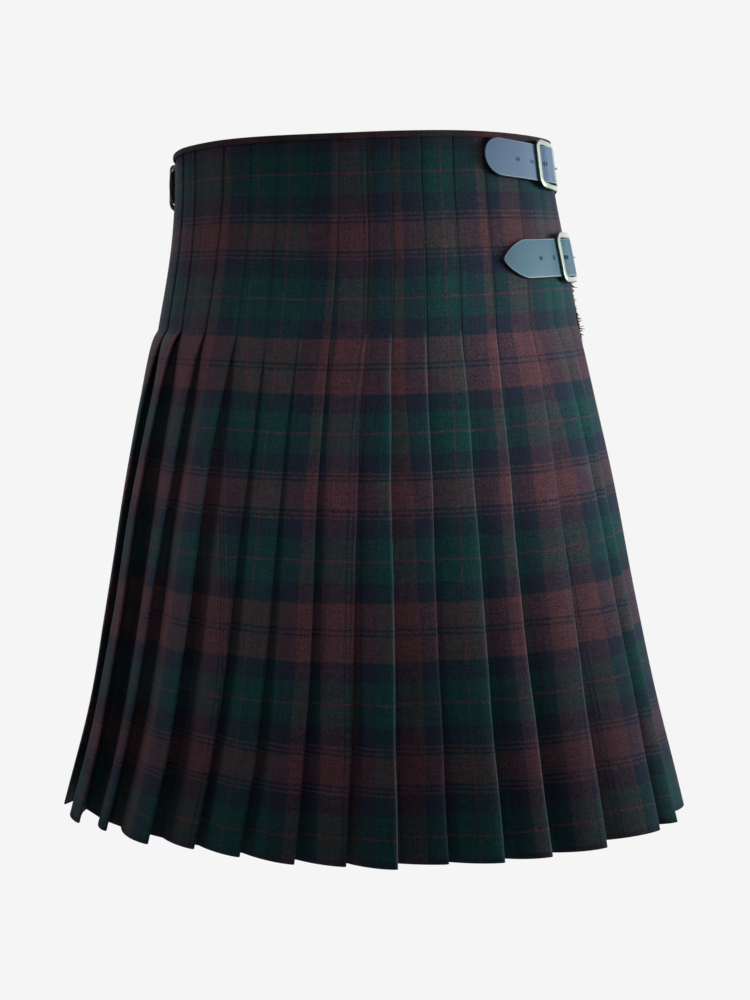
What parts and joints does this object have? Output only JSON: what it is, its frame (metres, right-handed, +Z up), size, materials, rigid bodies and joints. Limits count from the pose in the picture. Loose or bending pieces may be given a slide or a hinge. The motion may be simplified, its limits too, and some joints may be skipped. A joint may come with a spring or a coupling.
{
  "type": "kilt",
  "caption": "Men's knee-length tartan kilt with knife pleats round the back, overlapping flat aprons in front, a narrow waistband and leather straps with metal buckles, held in its worn form.",
  "frame": {"origin": "centre of the waist opening, level with the waistband's top edge", "axes": "+Z up, -Y the wearer's front, +Y the pleated back, -X the wearer's right, where the outer apron ends and two straps fasten"},
  "size_m": [0.5519, 0.3581, 0.6109],
  "materials": {
    "tartan_cloth": "matt wool twill in a dark green, navy and dull red tartan",
    "waistband_cloth": "matt wool twill",
    "fringe_cloth": "matt frayed wool",
    "strap_leather": "smooth, satin, slate blue",
    "buckle_steel": "polished"
  },
  "bodies": {
    "root": {"pleated_back": "tartan_cloth", "outer_apron": "tartan_cloth", "inner_apron": "tartan_cloth", "apron_fringe": "fringe_cloth", "waistband": "waistband_cloth", "right_upper_strap": "strap_leather", "right_upper_tab": "strap_leather", "right_upper_buckle": "buckle_steel", "right_upper_prong": "buckle_steel", "right_lower_strap": "strap_leather", "right_lower_tab": "strap_leather", "right_lower_buckle": "buckle_steel", "right_lower_prong": "buckle_steel", "left_strap": "strap_leather", "left_tab": "strap_leather", "left_buckle": "buckle_steel", "left_prong": "buckle_steel"}
  },
  "joints": []
}
